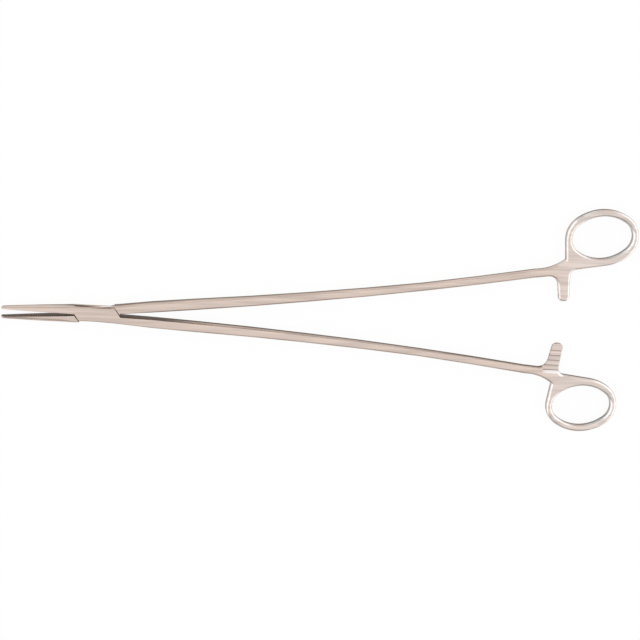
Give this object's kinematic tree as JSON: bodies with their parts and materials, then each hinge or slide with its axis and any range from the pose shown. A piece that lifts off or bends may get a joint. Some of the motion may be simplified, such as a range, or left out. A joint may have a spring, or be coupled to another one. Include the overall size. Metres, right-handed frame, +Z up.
{
  "type": "deep surgery forceps",
  "caption": "Long slim surgical forceps with short serrated half-round jaws, a threaded box lock, bowed shanks, a saw-tooth ratchet and oval finger rings.",
  "frame": {"origin": "on the pivot axis, at the lower face of the box lock that the forceps lie on", "axes": "+X along the closing line from the lock towards the finger rings, the jaws point along -X; +Y towards the tongue half's ring; +Z up, along the pivot axis"},
  "size_m": [0.2995, 0.1136, 0.006],
  "materials": {
    "slotted_half": "satin",
    "tongue_half": "satin",
    "pivot_pin": "satin"
  },
  "bodies": {
    "slotted_half": {"slotted_half": "slotted_half", "pivot_pin": "pivot_pin"},
    "tongue_half": {"tongue_half": "tongue_half"}
  },
  "joints": [
    {"name": "box_lock", "type": "hinge", "parent": "slotted_half", "child": "tongue_half", "pos_m": [0, 0, 0.003], "axis": [0, 0, 1], "range_deg": [-4.5, 115]}
  ]
}
